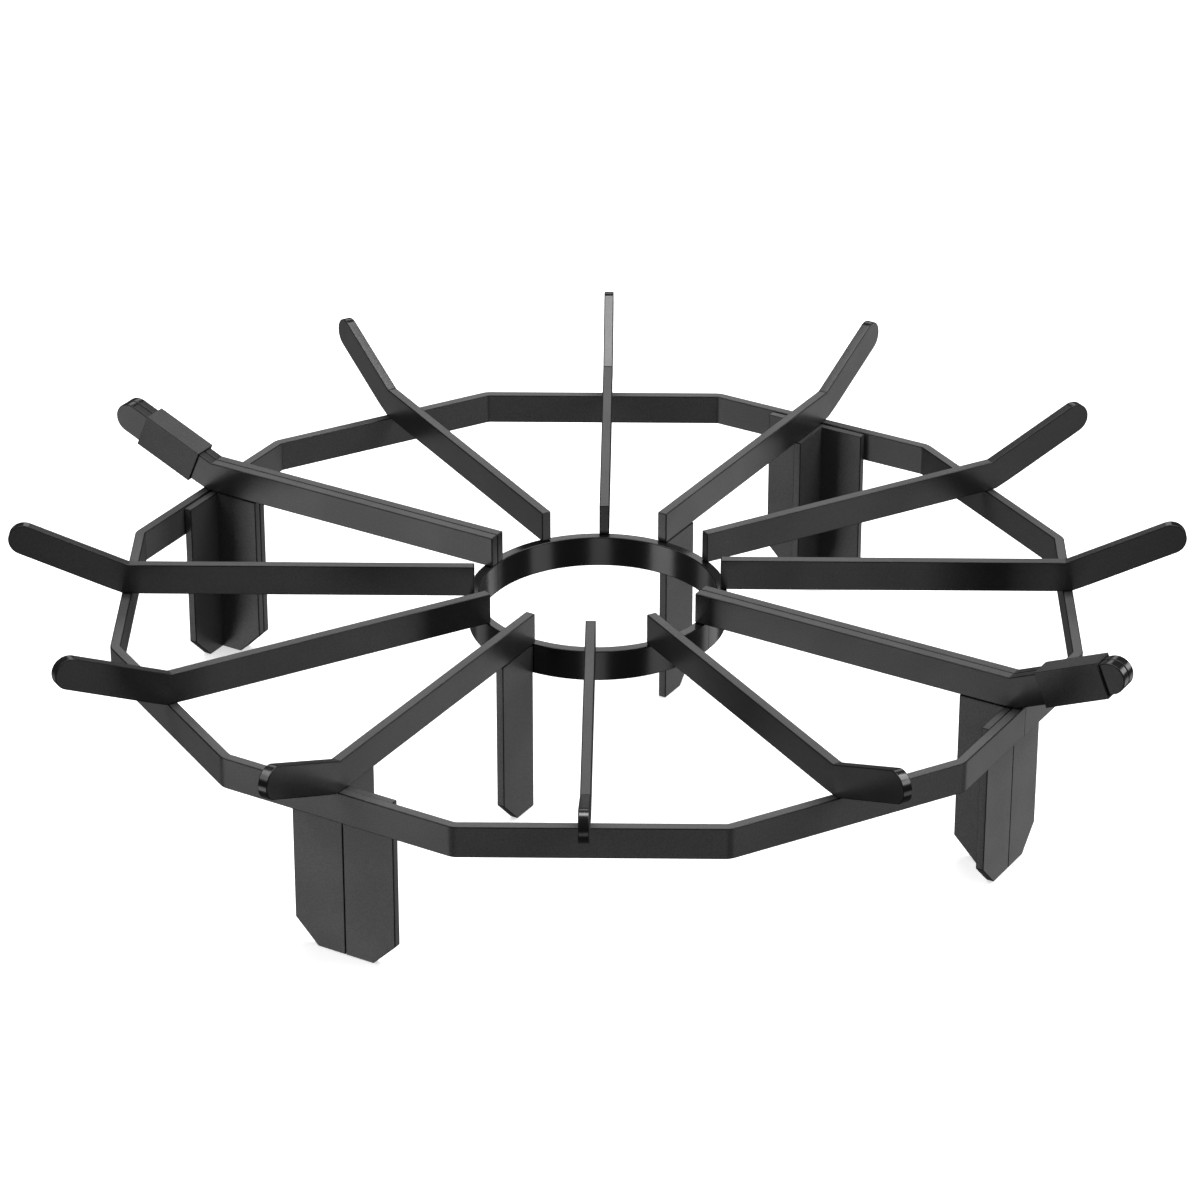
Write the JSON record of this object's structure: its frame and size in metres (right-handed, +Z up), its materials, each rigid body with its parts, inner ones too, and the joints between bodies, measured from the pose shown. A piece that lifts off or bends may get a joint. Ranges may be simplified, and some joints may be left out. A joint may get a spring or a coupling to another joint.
{
  "type": "log grate",
  "caption": "Round fire-pit log grate of welded flat bar, in two halves locked together by tube sleeves, with spokes that bend up at the rim to hold logs.",
  "frame": {"origin": "on the floor, under the middle of the grate", "axes": "+Z up; X along the straight line where the two halves meet, with the right sleeve at +X; the back half lies on the +Y side and the front half on the -Y side"},
  "size_m": [0.9036, 0.92, 0.1994],
  "materials": {
    "powder_coat": "satin black powder coat"
  },
  "bodies": {
    "grate": {"back_outer_ring": "powder_coat", "back_inner_ring": "powder_coat", "back_spoke_1": "powder_coat", "back_spoke_2": "powder_coat", "back_spoke_3": "powder_coat", "back_spoke_4": "powder_coat", "back_spoke_5": "powder_coat", "back_spoke_6": "powder_coat", "back_spoke_7": "powder_coat", "back_joint_leg_right": "powder_coat", "back_joint_leg_left": "powder_coat", "back_middle_leg_angle": "powder_coat", "back_middle_leg_strip": "powder_coat", "back_inner_leg": "powder_coat", "front_outer_ring": "powder_coat", "front_inner_ring": "powder_coat", "front_spoke_1": "powder_coat", "front_spoke_2": "powder_coat", "front_spoke_3": "powder_coat", "front_spoke_4": "powder_coat", "front_spoke_5": "powder_coat", "front_spoke_6": "powder_coat", "front_spoke_7": "powder_coat", "front_joint_leg_left": "powder_coat", "front_joint_leg_right": "powder_coat", "front_middle_leg_angle": "powder_coat", "front_middle_leg_strip": "powder_coat", "front_inner_leg": "powder_coat"},
    "right_lock": {"right_sleeve": "powder_coat"},
    "left_lock": {"left_sleeve": "powder_coat"}
  },
  "joints": [
    {"name": "right_sleeve_slide", "type": "slide", "parent": "grate", "child": "right_lock", "axis": [0.9191, 0, 0.3939], "range_m": [-0.0228, 0.1]},
    {"name": "left_sleeve_slide", "type": "slide", "parent": "grate", "child": "left_lock", "axis": [-0.9191, 0, 0.3939], "range_m": [-0.0118, 0.11]}
  ]
}
